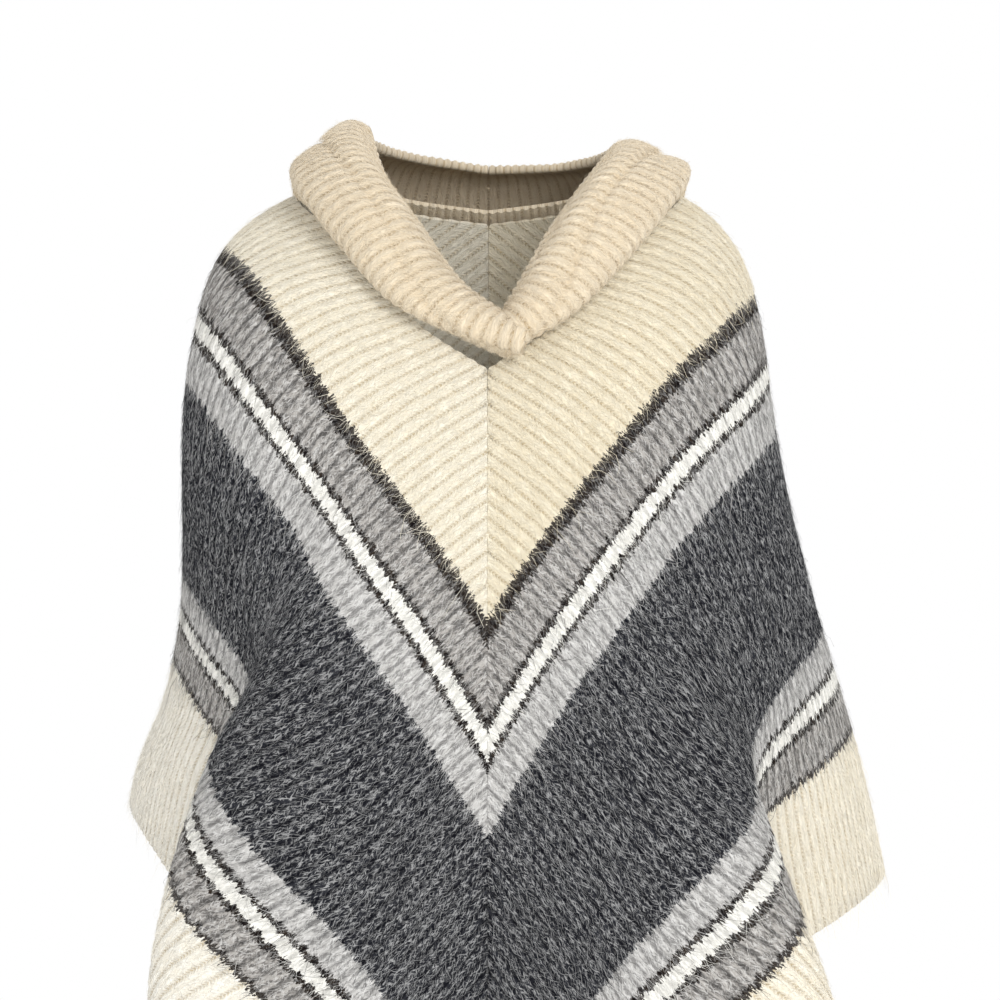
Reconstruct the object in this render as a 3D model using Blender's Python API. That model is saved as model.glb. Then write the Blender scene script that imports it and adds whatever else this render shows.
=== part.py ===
"""A hooded poncho of brushed rib-knit wool, in the form it has when it is worn.

Two trapezoid panels, one for each side, are joined by mitred seams down the
centre front and the centre back. The hood is two halves sewn round the neck,
and lies down behind it. The origin is level with the shoulder ends of the neck
seam, midway between them, where the wearer holds the garment up. X runs to the
viewer's right, Y to the back and Z up. Lengths are metres unless a name says cm.
"""

import math

import bmesh
import bpy
import numpy as np

# The cut. Each panel's wales run from neck to hem, and its ends are mitred.
MITRE = math.radians(50.0)      # between the shoulder wale and each centre seam
HEM_CM = 76.5                   # along the shoulder wale, from the cut's apex
RIB_CM = 0.95                   # one rib of the knit
RIB_RAISE_CM = 0.17             # a rib above the groove beside it
WALL_CM = 0.26                  # the cloth at the bottom of a groove
SEAM_GAP_CM = 0.03
INNER_STEP = 8                  # ribs' half pitches to one column of the plain inside

# The hanging cloth in plan, one row for each level, in cm: half width, how far
# the arm line lies back and squareness on each side, then depth front and back.
SECTIONS = (
    # level, left_x, left_y, left_sq, right_x, right_y, right_sq, front, back
    (4, 22.3, 0.0, 2.5, 20.6, 0.0, 2.4, 12.5, 12.5),
    (-8, 22.7, 0.0, 2.5, 21.1, 0.0, 2.4, 13.2, 13.4),
    (-18, 23.2, 0.0, 2.6, 22.0, 0.0, 2.4, 14.6, 14.6),
    (-30, 23.5, 1.5, 2.8, 24.6, 0.0, 2.3, 15.3, 15.0),
    (-38, 25.0, 5.0, 2.9, 27.0, 0.0, 2.2, 15.6, 15.4),
    (-46, 28.2, 9.0, 2.8, 29.2, 0.0, 2.1, 16.0, 16.0),
    (-58, 30.0, 11.0, 2.6, 31.5, 0.5, 2.0, 16.8, 17.0),
    (-80, 31.5, 12.0, 2.4, 33.5, 1.0, 2.0, 18.0, 18.5),
    (-112, 33.0, 13.0, 2.3, 35.0, 1.5, 2.0, 19.0, 20.0),
)

# The neck seam, in cm. The place is 1 at centre front, 0 at the shoulder and -1
# at centre back, and radius is the distance from the cut's apex in the flat.
NECK = (
    # place, x, y, z, radius_left, radius_right
    (1.0, 0.0, -11.3, -13.8, 27.6, 27.6),
    (0.75, 4.6, -10.9, -10.8, 26.3, 26.0),
    (0.5, 8.0, -9.6, -7.2, 25.0, 23.8),
    (0.25, 11.6, -6.4, -3.4, 24.0, 21.4),
    (0.0, 14.8, 0.0, -0.2, 23.4, 20.7),
    (-0.25, 13.4, 5.0, 0.6, 23.2, 21.4),
    (-0.5, 9.6, 8.3, 0.2, 23.3, 22.4),
    (-0.75, 5.0, 9.7, -0.6, 23.7, 23.4),
    (-1.0, 0.0, 10.2, -1.2, 24.0, 24.0),
)
SHOULDER_ROUND_CM = 3.2         # how soon the cloth turns down from the shoulder

# The largest folds. Each rolls over itself beside an arm: reach is how far its
# edge swings along the cloth and rise how far it lifts, both in cm.
FOLDS = (
    # side, place, half_width, starts, full, reach, rise
    (-1, 0.52, 0.100, -24, -62, 8.2, 4.8),
    (1, 0.45, 0.095, -32, -70, 8.4, 4.6),
    (-1, -0.46, 0.100, -26, -68, 8.2, 4.8),
    (1, -0.54, 0.105, -28, -70, 10.0, 5.0),
)
FOLD_ROUND = 0.55               # how softly each edge of a fold turns over
# The soft valley down each centre seam, in cm but for its half width.
VALLEY_HALF, VALLEY_STARTS, VALLEY_FULL, VALLEY_DEPTH = 0.10, -45, -80, 3.0

# Levels along a wale where the panels have rings of points, in cm from the apex.
RINGS_CM = (26.5, 30.5, 35.5, 41.5, 48, 54.5, 60.5, 66, 71.5)

# The hood on the viewer's right, in cm, one row for each section through it from
# centre front to centre back: face edge, roll, outer side, lowest, inner side.
HOODS = {
    # side: rows of place, edge x y z, roll x y z, outer x y z, low x y z, inner x y z
    -1: (
        (1.00, 0.2, -11.6, -10.4, 0.2, -12.7, -10.9, 0.2, -13.3, -11.5, 0.2, -13.3, -12.1, 0.2, -12.6, -12.4),
        (0.62, 2.9, -10.6, -6.8, 4.2, -12.2, -6.4, 5.8, -12.9, -7.0, 7.0, -12.6, -7.9, 7.0, -11.7, -8.3),
        (0.38, 5.4, -8.6, -3.1, 7.2, -10.4, -1.6, 9.4, -10.9, -2.2, 10.9, -10.2, -3.4, 10.7, -9.3, -4.2),
        (0.10, 8.5, -5.0, 1.6, 10.2, -6.2, 3.0, 12.6, -5.6, 2.6, 14.6, -4.4, 1.5, 14.4, -3.7, 0.7),
        (-0.10, 9.4, -0.5, 4.9, 10.8, -0.4, 5.5, 12.6, 0.4, 4.5, 14.8, 1.5, 2.8, 14.9, 1.9, 2.0),
        (-0.35, 9.3, 5.4, 4.6, 11.2, 8.0, 4.7, 14.0, 11.0, 2.0, 14.9, 12.4, -1.6, 13.4, 10.2, 0.6),
        (-0.65, 6.1, 10.4, 4.0, 7.8, 14.0, 3.7, 9.6, 18.0, -1.6, 9.6, 18.4, -9.0, 7.9, 14.6, -2.8),
        (-1.00, 0.0, 12.6, 3.2, 0.0, 16.2, 2.6, 0.0, 20.2, -3.6, 0.0, 19.4, -12.8, 0.0, 15.6, -4.2),
    ),
    1: (
        (1.00, 0.2, -11.6, -10.4, 0.2, -12.7, -10.9, 0.2, -13.3, -11.5, 0.2, -13.3, -12.1, 0.2, -12.6, -12.4),
        (0.62, 3.0, -10.6, -6.9, 4.3, -12.2, -6.5, 5.9, -12.9, -7.1, 7.1, -12.6, -8.0, 7.1, -11.7, -8.4),
        (0.38, 5.3, -8.6, -3.0, 7.3, -10.4, -1.7, 9.6, -10.9, -2.4, 11.1, -10.2, -3.5, 10.9, -9.3, -4.2),
        (0.10, 8.3, -5.0, 1.2, 10.4, -6.2, 2.6, 12.9, -5.6, 2.2, 14.9, -4.4, 1.4, 14.7, -3.7, 0.7),
        (-0.10, 9.9, -0.5, 3.6, 11.3, -0.4, 4.0, 13.2, 0.4, 3.3, 15.2, 1.5, 2.6, 15.2, 1.9, 2.0),
        (-0.35, 9.5, 5.4, 3.7, 11.6, 8.0, 3.8, 14.7, 11.0, 1.2, 15.2, 12.5, -1.6, 13.6, 10.2, 0.6),
        (-0.65, 6.3, 10.4, 3.3, 8.0, 14.0, 2.9, 9.8, 18.0, -1.8, 9.7, 18.4, -9.0, 7.9, 14.6, -2.9),
        (-1.00, 0.0, 12.6, 3.2, 0.0, 16.2, 2.6, 0.0, 20.2, -3.6, 0.0, 19.4, -12.8, 0.0, 15.6, -4.2),
    ),
}
HOOD_EDGE_CM = 4.0              # the turned and stitched edge, of two layers
HOOD_ROWS = 9
LAP_CM = 1.0                    # the left half's front end passes the centre


def smooth(x, table, column):
    """A table's column read at x along its first column, with no overshoot."""
    rows = sorted(table)
    xs = np.array([r[0] for r in rows], float)
    ys = np.array([r[column] for r in rows], float)
    step, rise = np.diff(xs), np.diff(ys) / np.diff(xs)
    slope = np.concatenate([[rise[0]], np.zeros(len(xs) - 2), [rise[-1]]])
    for i in range(1, len(xs) - 1):
        if rise[i - 1] * rise[i] > 0:
            a, b = 2 * step[i] + step[i - 1], step[i] + 2 * step[i - 1]
            slope[i] = (a + b) / (a / rise[i - 1] + b / rise[i])
    return hermite(x, xs, ys, slope)


def flowing(x, table, column):
    """A table's column read at x along its first column, as a flowing curve."""
    rows = sorted(table)
    xs = np.array([r[0] for r in rows], float)
    ys = np.array([r[column] for r in rows], float)
    return hermite(x, xs, ys, np.gradient(ys, xs))


def hermite(x, xs, ys, slope):
    x = np.clip(x, xs[0], xs[-1])
    i = np.clip(np.searchsorted(xs, x) - 1, 0, len(xs) - 2)
    step = np.diff(xs)[i]
    t = (x - xs[i]) / step
    return (
        (2 * t**3 - 3 * t**2 + 1) * ys[i]
        + (t**3 - 2 * t**2 + t) * step * slope[i]
        + (3 * t**2 - 2 * t**3) * ys[i + 1]
        + (t**3 - t**2) * step * slope[i + 1]
    )


def eased(level, starts, full):
    t = min(max((starts - level) / (starts - full), 0.0), 1.0)
    return t * t * (3 - 2 * t)


def plan(side, level, places):
    """Points (x, y) of the hanging cloth at one level, folds included."""
    width, back_by, square = (
        smooth(level, SECTIONS, k + (0 if side < 0 else 3)) for k in (1, 2, 3)
    )
    psi = np.linspace(0, math.pi / 2, 181)
    points = np.zeros((len(places), 2))
    along = np.zeros_like(points)
    outward = np.zeros_like(points)
    for facing, depth in ((-1, smooth(level, SECTIONS, 7)), (1, smooth(level, SECTIONS, 8))):
        x = width * np.sin(psi) ** (2 / square)
        y = facing * depth * np.cos(psi) ** (2 / square) + back_by * np.sin(psi) ** 2
        run = np.concatenate([[0], np.cumsum(np.hypot(np.diff(x), np.diff(y)))])
        here = places >= 0 if facing < 0 else places < 0
        at = (1 - np.abs(places[here])) * run[-1]
        points[here] = np.c_[np.interp(at, run, x), np.interp(at, run, y)]
        way = np.c_[
            np.interp(at + 0.4, run, x) - np.interp(at - 0.4, run, x),
            np.interp(at + 0.4, run, y) - np.interp(at - 0.4, run, y),
        ]
        way /= np.linalg.norm(way, axis=1)[:, None]
        along[here] = way
        outward[here] = np.c_[way[:, 1], -way[:, 0]] * -facing
    for fold_side, place, half, starts, full, reach, rise in FOLDS:
        if fold_side != side:
            continue
        q = (places - place) / half * (1 if place > 0 else -1)
        near = np.where(np.sign(places) == np.sign(place), np.abs(places), 0.0)
        settled = np.clip(near / 0.2, 0, 1) * np.clip((1 - near) / 0.25, 0, 1)
        grown = eased(level, starts, full) * settled**2 * (3 - 2 * settled)
        swing = q * np.exp((1 - q * q) / 2)
        lift = np.tanh((q - 1) / FOLD_ROUND) + 1.6 * np.tanh((q + 1) / FOLD_ROUND)
        lift = lift / 2.6 * np.exp(-((q / 3.2) ** 2))
        points += (reach * grown * swing)[:, None] * along
        points += (rise * np.sqrt(grown) * lift)[:, None] * outward
    valley = VALLEY_DEPTH * eased(level, VALLEY_STARTS, VALLEY_FULL)
    valley = valley * np.exp(-(((1 - np.abs(places)) / VALLEY_HALF) ** 2))
    points[:, 1] += np.where(places >= 0, valley, -valley)
    return points


class Cloth:
    """The worn surface of one panel, read at flat places u across and v along."""

    STEP = 0.5

    def __init__(self, side):
        self.side = side
        self.places = np.linspace(1, -1, 361)
        neck = np.stack([flowing(self.places, NECK, k) for k in (1, 2, 3)], axis=1)
        self.radius = flowing(self.places, NECK, 4 if side < 0 else 5)
        drops = np.concatenate([np.linspace(0, 12, 49), np.linspace(12.6, 112, 160)])
        levels = np.linspace(4, -126, 131)
        plans = np.array([plan(side, level, self.places) for level in levels])
        lengths = np.arange(0, 106, self.STEP)
        self.grid = np.zeros((len(self.places), len(lengths), 3))
        for i, place in enumerate(self.places):
            z = neck[i, 2] - drops
            out = 1 - np.exp(-drops / (SHOULDER_ROUND_CM + 2.0 * place**2))
            x = neck[i, 0] + (np.interp(-z, -levels, plans[:, i, 0]) - neck[i, 0]) * out
            y = neck[i, 1] + (np.interp(-z, -levels, plans[:, i, 1]) - neck[i, 1]) * out
            path = np.stack([side * x, y, z], axis=1)
            run = np.concatenate([[0], np.cumsum(np.linalg.norm(np.diff(path, axis=0), axis=1))])
            for c in range(3):
                self.grid[i, :, c] = np.interp(lengths, run, path[:, c])

    def at(self, u, v):
        place = np.clip(np.arctan2(u, v) / MITRE, -1, 1)
        run = np.hypot(u, v) - np.interp(-place, -self.places, self.radius)
        a = (1 - place) / 2 * (len(self.places) - 1)
        b = np.clip(run / self.STEP, 0, self.grid.shape[1] - 1.001)
        i = np.minimum(a.astype(int), len(self.places) - 2)
        j = b.astype(int)
        s, t = (a - i)[..., None], (b - j)[..., None]
        g = self.grid
        return (1 - s) * ((1 - t) * g[i, j] + t * g[i, j + 1]) + s * (
            (1 - t) * g[i + 1, j] + t * g[i + 1, j + 1]
        )

    def outward(self, u, v, reach=0.5):
        most = v * math.tan(MITRE) - 0.01
        across = self.at(np.clip(u + reach, -most, most), v) - self.at(
            np.clip(u - reach, -most, most), v
        )
        along = self.at(u, v + reach) - self.at(u, np.maximum(v - reach, np.abs(u) / math.tan(MITRE)))
        normal = np.cross(across, along) * self.side
        return normal / np.linalg.norm(normal, axis=-1)[..., None]

    def starts(self, u):
        """Where the wale at u begins: at a centre seam or at the neck."""
        seam = abs(u) / math.tan(MITRE)
        v = np.linspace(max(seam, 12.0), 30.0, 400)
        inside = np.hypot(u, v) >= np.interp(-np.arctan2(u, v) / MITRE, -self.places, self.radius)
        neck = v[np.argmax(inside)] if inside.any() else seam
        return max(seam, neck)


def zip_strip(faces, a, b, key_a, key_b):
    """Triangles between two chains of vertices, taken in the order of their keys."""
    i = j = 0
    while i < len(a) - 1 or j < len(b) - 1:
        if j == len(b) - 1 or (i < len(a) - 1 and key_a[i + 1] <= key_b[j + 1]):
            faces.append((a[i], a[i + 1], b[j]))
            i += 1
        else:
            faces.append((a[i], b[j + 1], b[j]))
            j += 1


def shell(name, columns_out, columns_in, material, collection):
    """One closed wall. Each column is (position, points, keys) from top to hem."""
    verts, faces = [], []

    def laid(columns):
        indices = []
        for _, points, _ in columns:
            indices.append(list(range(len(verts), len(verts) + len(points))))
            verts.extend(points)
        return indices

    out, inn = laid(columns_out), laid(columns_in)
    for columns, indices, turned in ((columns_out, out, False), (columns_in, inn, True)):
        for k in range(len(columns) - 1):
            strip = []
            zip_strip(strip, indices[k], indices[k + 1], columns[k][2], columns[k + 1][2])
            faces.extend(f[::-1] if turned else f for f in strip)
    for end, turned in ((0, True), (-1, False)):
        strip = []
        zip_strip(
            strip,
            [c[end] for c in out],
            [c[end] for c in inn],
            [c[0] for c in columns_out],
            [c[0] for c in columns_in],
        )
        faces.extend(f[::-1] if turned else f for f in strip)
    for k, turned in ((0, False), (-1, True)):
        if len(out[k]) > 1:
            strip = []
            zip_strip(strip, out[k], inn[k], columns_out[k][2], columns_in[k][2])
            faces.extend(f[::-1] if turned else f for f in strip)
    mesh = bpy.data.meshes.new(name)
    mesh.from_pydata([tuple(p) for p in verts], [], faces)
    bm = bmesh.new()
    bm.from_mesh(mesh)
    bmesh.ops.recalc_face_normals(bm, faces=bm.faces)
    bm.to_mesh(mesh)
    bm.free()
    mesh.materials.append(material)
    mesh.shade_smooth()
    mesh.set_sharp_from_angle(angle=math.radians(60))
    obj = bpy.data.objects.new(name, mesh)
    collection.objects.link(obj)
    return obj


def clear_of_centre(points, side, gap=SEAM_GAP_CM / 2):
    points[..., 0] = side * np.maximum(side * points[..., 0], gap)
    return points


def panel(name, side, material, collection):
    cloth = Cloth(side)
    half = RIB_CM / 2
    corner = HEM_CM * math.tan(MITRE) - 0.35
    most = int(corner / half)

    def column(u, raised, inside):
        start = cloth.starts(u) + (0.01 if abs(u) < corner - 1 else 0.0)
        v = np.array([start] + [r for r in RINGS_CM if r > start + 1.6] + [HEM_CM])
        if len(v) > 2 and v[-1] - v[-2] < 1.0:
            v = np.delete(v, -2)
        if HEM_CM - start < 0.5:
            v = v[-1:]
        points = cloth.at(np.full(len(v), u), v)
        if not inside:
            lift = WALL_CM + (RIB_RAISE_CM if raised else 0.0)
            points = points + cloth.outward(np.full(len(v), u), v) * lift
        return (u, clear_of_centre(points, side) / 100, list(v))

    numbers = list(range(-most, most + 1))
    out = [column(-corner, False, False)]
    out += [column(k * half, k % 2 == 0, False) for k in numbers[1:-1]]
    out += [column(corner, False, False)]
    inn = [column(-corner, False, True)]
    inn += [column(k * half, False, True) for k in numbers[1:-1] if k % INNER_STEP == 0]
    inn += [column(corner, False, True)]
    return shell(name, out, inn, material, collection)


def hood_half(name, side, material, collection):
    """Half the hood, from its end at centre front to the seam down its back."""
    fine = np.linspace(1, -1, 161)
    cage = np.zeros((6, len(fine), 3))
    for k in range(5):
        for c in range(3):
            cage[k, :, c] = flowing(fine, HOODS[side], 1 + 3 * k + c)
    for c in range(3):
        cage[5, :, c] = flowing(fine, NECK, 1 + c)
    lie = np.clip(np.where(fine > -0.05, (fine + 0.05) / 0.25, -fine / 0.6), 0, 1)
    cage[5, :, 2] += 0.6 + 0.66 * lie
    cage[:, :, 0] *= side
    cage[:, :, 0] += LAP_CM * np.clip((fine - 0.5) / 0.5, 0, 1) ** 2
    knots = np.linspace(0, 1, 6)
    taus = np.linspace(0, 1, 61)
    surface = np.zeros((len(taus), len(fine), 3))
    for i in range(len(fine)):
        for c in range(3):
            surface[:, i, c] = hermite(taus, knots, cage[:, i, c], np.gradient(cage[:, i, c], knots))
    edge_run = np.concatenate(
        [[0], np.cumsum(np.linalg.norm(np.diff(surface[20], axis=0), axis=1))]
    )
    count = int(edge_run[-1] / RIB_CM) * 2

    def point(i, t):
        a = np.interp(i, edge_run, np.arange(len(fine)))
        i0 = min(int(a), len(fine) - 2)
        s = a - i0
        line = (1 - s) * surface[:, i0] + s * surface[:, i0 + 1]
        run = np.concatenate([[0], np.cumsum(np.linalg.norm(np.diff(line, axis=0), axis=1))])
        return np.array([np.interp(t * run[-1], run, line[:, c]) for c in range(3)]), run[-1]

    def column(k, raised, inside):
        at = edge_run[-1] * k / count
        ts = np.linspace(0, 1, HOOD_ROWS)
        points = []
        for t in ts:
            p, length = point(at, t)
            if not inside:
                e = 0.6
                a0, _ = point(max(at - e, 0), t)
                a1, _ = point(min(at + e, edge_run[-1]), t)
                b0, _ = point(at, max(t - 0.03, 0))
                b1, _ = point(at, min(t + 0.03, 1))
                n = np.cross(a1 - a0, b1 - b0) * side
                n /= np.linalg.norm(n)
                doubled = WALL_CM * 0.9 * max(0.0, 1 - (t * length / HOOD_EDGE_CM) ** 6)
                p = p - n * (WALL_CM + doubled + (RIB_RAISE_CM if raised else 0.0))
            points.append(p)
        points = np.array(points)
        if k == count:
            points[:, 0] = side * SEAM_GAP_CM / 2
        elif at > edge_run[-1] * 0.5:
            points = clear_of_centre(points, side)
        elif k == 0:
            points[:, 0] = LAP_CM + side * SEAM_GAP_CM / 2
        else:
            points[:, 0] = LAP_CM + side * np.maximum(
                side * (points[:, 0] - LAP_CM), SEAM_GAP_CM / 2
            )
        return (k, points / 100, list(ts))

    out = [column(k, k % 2 == 1, False) for k in range(count + 1)]
    inn = [column(k, False, True) for k in range(0, count + 1) if k % INNER_STEP == 0 or k == count]
    return shell(name, out, inn, material, collection)


def wool(name, colour):
    material = bpy.data.materials.new(name)
    material.use_nodes = True
    shader = material.node_tree.nodes["Principled BSDF"]
    shader.inputs["Base Color"].default_value = (*colour, 1)
    shader.inputs["Roughness"].default_value = 0.95
    shader.inputs["Metallic"].default_value = 0.0
    return material


def main():
    for obj in list(bpy.data.objects):
        bpy.data.objects.remove(obj, do_unlink=True)
    collection = bpy.data.collections.new("hooded_poncho")
    bpy.context.scene.collection.children.link(collection)
    panel("panel_left", -1, wool("wool_left", (0.30, 0.29, 0.27)), collection)
    panel("panel_right", 1, wool("wool_right", (0.31, 0.30, 0.28)), collection)
    hood_half("hood_left", -1, wool("wool_hood_left", (0.78, 0.71, 0.55)), collection)
    hood_half("hood_right", 1, wool("wool_hood_right", (0.78, 0.70, 0.53)), collection)


main()
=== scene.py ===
"""The looks of a hooded poncho of brushed rib-knit wool, in its worn form.

The cloth follows the same cut and drape as the solids: two mitred panels and
two hood halves. Each is a thin closed shell with its ribs raised, and brushed
fibres lie over it as separate pieces. Distances in the tables are centimetres.
"""

import math

import bpy
import numpy as np
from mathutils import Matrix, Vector


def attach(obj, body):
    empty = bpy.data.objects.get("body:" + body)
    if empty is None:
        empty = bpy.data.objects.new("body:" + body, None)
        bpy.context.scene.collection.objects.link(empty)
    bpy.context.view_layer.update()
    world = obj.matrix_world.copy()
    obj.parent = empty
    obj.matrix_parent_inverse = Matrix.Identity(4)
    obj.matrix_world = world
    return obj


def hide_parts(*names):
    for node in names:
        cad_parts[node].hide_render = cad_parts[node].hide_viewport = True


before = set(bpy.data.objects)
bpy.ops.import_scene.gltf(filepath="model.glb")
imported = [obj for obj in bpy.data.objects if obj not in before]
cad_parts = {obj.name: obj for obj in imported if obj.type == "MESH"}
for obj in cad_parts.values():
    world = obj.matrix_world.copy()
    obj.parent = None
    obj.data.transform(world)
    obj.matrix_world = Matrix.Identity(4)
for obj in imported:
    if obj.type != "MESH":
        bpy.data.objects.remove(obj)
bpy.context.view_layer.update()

# The cut.
MITRE = math.radians(50.0)  # from a panel's shoulder wale to its seams
HEM_CM = 76.5  # from the apex of the cut
RIB_CM = 0.95  # from one rib to the next
RIB_RAISE_CM = 0.17  # how far a rib stands over its groove
WALL_CM = 0.26  # the cloth at the bottom of a groove
SEAM_GAP_CM = 0.03  # between the two sides, where the yarn closes the join

# The body's outline at each level, how it reaches the neck, and the drape's folds.
SECTIONS = (
    # level, left_x, left_y, left_sq, right_x, right_y, right_sq, front, back
    (4, 22.3, 0.0, 2.5, 20.6, 0.0, 2.4, 12.5, 12.5),
    (-8, 22.7, 0.0, 2.5, 21.1, 0.0, 2.4, 13.2, 13.4),
    (-18, 23.2, 0.0, 2.6, 22.0, 0.0, 2.4, 14.6, 14.6),
    (-30, 23.5, 1.5, 2.8, 24.6, 0.0, 2.3, 15.3, 15.0),
    (-38, 25.0, 5.0, 2.9, 27.0, 0.0, 2.2, 15.6, 15.4),
    (-46, 28.2, 9.0, 2.8, 29.2, 0.0, 2.1, 16.0, 16.0),
    (-58, 30.0, 11.0, 2.6, 31.5, 0.5, 2.0, 16.8, 17.0),
    (-80, 31.5, 12.0, 2.4, 33.5, 1.0, 2.0, 18.0, 18.5),
    (-112, 33.0, 13.0, 2.3, 35.0, 1.5, 2.0, 19.0, 20.0),
)
NECK = (
    # place, x, y, z, radius_left, radius_right
    (1.0, 0.0, -11.3, -13.8, 27.6, 27.6),
    (0.75, 4.6, -10.9, -10.8, 26.3, 26.0),
    (0.5, 8.0, -9.6, -7.2, 25.0, 23.8),
    (0.25, 11.6, -6.4, -3.4, 24.0, 21.4),
    (0.0, 14.8, 0.0, -0.2, 23.4, 20.7),
    (-0.25, 13.4, 5.0, 0.6, 23.2, 21.4),
    (-0.5, 9.6, 8.3, 0.2, 23.3, 22.4),
    (-0.75, 5.0, 9.7, -0.6, 23.7, 23.4),
    (-1.0, 0.0, 10.2, -1.2, 24.0, 24.0),
)
SHOULDER_ROUND_CM = 3.2  # how soon the cloth turns down from the neck
FOLDS = (
    # side, place, half_width, starts, full, reach, rise
    (-1, 0.52, 0.100, -24, -62, 8.2, 4.8),
    (1, 0.45, 0.095, -32, -70, 8.4, 4.6),
    (-1, -0.46, 0.100, -26, -68, 8.2, 4.8),
    (1, -0.54, 0.105, -28, -70, 10.0, 5.0),
)
FOLD_ROUND = 0.55  # how gently a fold turns
# The cloth dips towards the body at centre front and back.
VALLEY_HALF, VALLEY_STARTS, VALLEY_FULL, VALLEY_DEPTH = 0.10, -45, -80, 3.0
HOODS = {
    # side: rows of place, edge x y z, roll x y z, outer x y z, low x y z, inner x y z
    -1: (
        (1.00, 0.2, -11.6, -10.4, 0.2, -12.7, -10.9, 0.2, -13.3, -11.5,
         0.2, -13.3, -12.1, 0.2, -12.6, -12.4),
        (0.62, 2.9, -10.6, -6.8, 4.2, -12.2, -6.4, 5.8, -12.9, -7.0,
         7.0, -12.6, -7.9, 7.0, -11.7, -8.3),
        (0.38, 5.4, -8.6, -3.1, 7.2, -10.4, -1.6, 9.4, -10.9, -2.2,
         10.9, -10.2, -3.4, 10.7, -9.3, -4.2),
        (0.10, 8.5, -5.0, 1.6, 10.2, -6.2, 3.0, 12.6, -5.6, 2.6,
         14.6, -4.4, 1.5, 14.4, -3.7, 0.7),
        (-0.10, 9.4, -0.5, 4.9, 10.8, -0.4, 5.5, 12.6, 0.4, 4.5,
         14.8, 1.5, 2.8, 14.9, 1.9, 2.0),
        (-0.35, 9.3, 5.4, 4.6, 11.2, 8.0, 4.7, 14.0, 11.0, 2.0,
         14.9, 12.4, -1.6, 13.4, 10.2, 0.6),
        (-0.65, 6.1, 10.4, 4.0, 7.8, 14.0, 3.7, 9.6, 18.0, -1.6,
         9.6, 18.4, -9.0, 7.9, 14.6, -2.8),
        (-1.00, 0.0, 12.6, 3.2, 0.0, 16.2, 2.6, 0.0, 20.2, -3.6,
         0.0, 19.4, -12.8, 0.0, 15.6, -4.2),
    ),
    1: (
        (1.00, 0.2, -11.6, -10.4, 0.2, -12.7, -10.9, 0.2, -13.3, -11.5,
         0.2, -13.3, -12.1, 0.2, -12.6, -12.4),
        (0.62, 3.0, -10.6, -6.9, 4.3, -12.2, -6.5, 5.9, -12.9, -7.1,
         7.1, -12.6, -8.0, 7.1, -11.7, -8.4),
        (0.38, 5.3, -8.6, -3.0, 7.3, -10.4, -1.7, 9.6, -10.9, -2.4,
         11.1, -10.2, -3.5, 10.9, -9.3, -4.2),
        (0.10, 8.3, -5.0, 1.2, 10.4, -6.2, 2.6, 12.9, -5.6, 2.2,
         14.9, -4.4, 1.4, 14.7, -3.7, 0.7),
        (-0.10, 9.9, -0.5, 3.6, 11.3, -0.4, 4.0, 13.2, 0.4, 3.3,
         15.2, 1.5, 2.6, 15.2, 1.9, 2.0),
        (-0.35, 9.5, 5.4, 3.7, 11.6, 8.0, 3.8, 14.7, 11.0, 1.2,
         15.2, 12.5, -1.6, 13.6, 10.2, 0.6),
        (-0.65, 6.3, 10.4, 3.3, 8.0, 14.0, 2.9, 9.8, 18.0, -1.8,
         9.7, 18.4, -9.0, 7.9, 14.6, -2.9),
        (-1.00, 0.0, 12.6, 3.2, 0.0, 16.2, 2.6, 0.0, 20.2, -3.6,
         0.0, 19.4, -12.8, 0.0, 15.6, -4.2),
    ),
}
HOOD_EDGE_CM = 4.0  # how deep the face edge is turned in
LAP_CM = 1.0  # the right half reaches past centre front by this

# The stripes, in cm along a wale from the apex of the cut to each one's end.
STRIPES = (
    # end, dye
    (30.0, "cream"),
    (31.0, "umber"),
    (34.4, "grey"),
    (35.1, "umber"),
    (36.4, "white"),
    (37.1, "umber"),
    (40.3, "pale grey"),
    (56.3, "charcoal"),
    (59.0, "pale grey"),
    (59.6, "umber"),
    (60.8, "white"),
    (61.4, "umber"),
    (64.3, "grey"),
    (65.0, "umber"),
    # painted light: the lowest band is the cream painted lighter, for the stronger light on the
    # lower cloth
    (80.0, "cream painted lighter"),
)
DYES = {
    # colours as they look in daylight, 0 to 255
    "cream": (236, 229, 211),
    # painted light: the cream again, painted lighter where more light falls on the lower cloth
    "cream painted lighter": (248, 244, 233),
    "umber": (50, 43, 37),
    "grey": (170, 166, 161),
    "pale grey": (194, 192, 189),
    "white": (236, 234, 227),
    "charcoal": (45, 46, 51),
}
RAMP_CM = 80.0
NAPPED_CM = (30.5, 64.6)  # the bands between are brushed, and the creams are plain
FIRST_ROOTS_CM = 29.4  # long fibres start a little over the first band
HAIR_PALE = (0.92, 0.92, 0.91, 1.0)
SHADE = (0.0, 0.0, 0.002, 1.0)
# Each cloth has its own slice of the noises, so none mirrors another at a seam.
SLICES = {"left": 0.0, "right": 7.0, "hood": 13.0}
FIBRES = (
    # count, are they long
    (34000, False),
    (34000, False),
    (12000, True),
)
HOOD_FIBRES = 18000
HAIRS = (
    # lean off the wale, cells per metre across and along, level where one begins
    (-0.36, 800, 118, 0.55),
    (0.0, 900, 130, 0.56),
    (0.38, 840, 122, 0.55),
    (0.85, 700, 160, 0.59),
)


def linear(rgb):
    """A daylight colour as the renderer's own linear one."""
    c = np.array(rgb, float) / 255
    return tuple(np.where(c <= 0.04045, c / 12.92, ((c + 0.055) / 1.055) ** 2.4)) + (1.0,)


def hermite(x, xs, ys, slope):
    """Cubic through the points, with the given slope at each."""
    x = np.clip(x, xs[0], xs[-1])
    i = np.clip(np.searchsorted(xs, x) - 1, 0, len(xs) - 2)
    step = np.diff(xs)[i]
    t = (x - xs[i]) / step
    return (
        (2 * t**3 - 3 * t**2 + 1) * ys[i]
        + (t**3 - 2 * t**2 + t) * step * slope[i]
        + (3 * t**2 - 2 * t**3) * ys[i + 1]
        + (t**3 - t**2) * step * slope[i + 1]
    )


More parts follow.
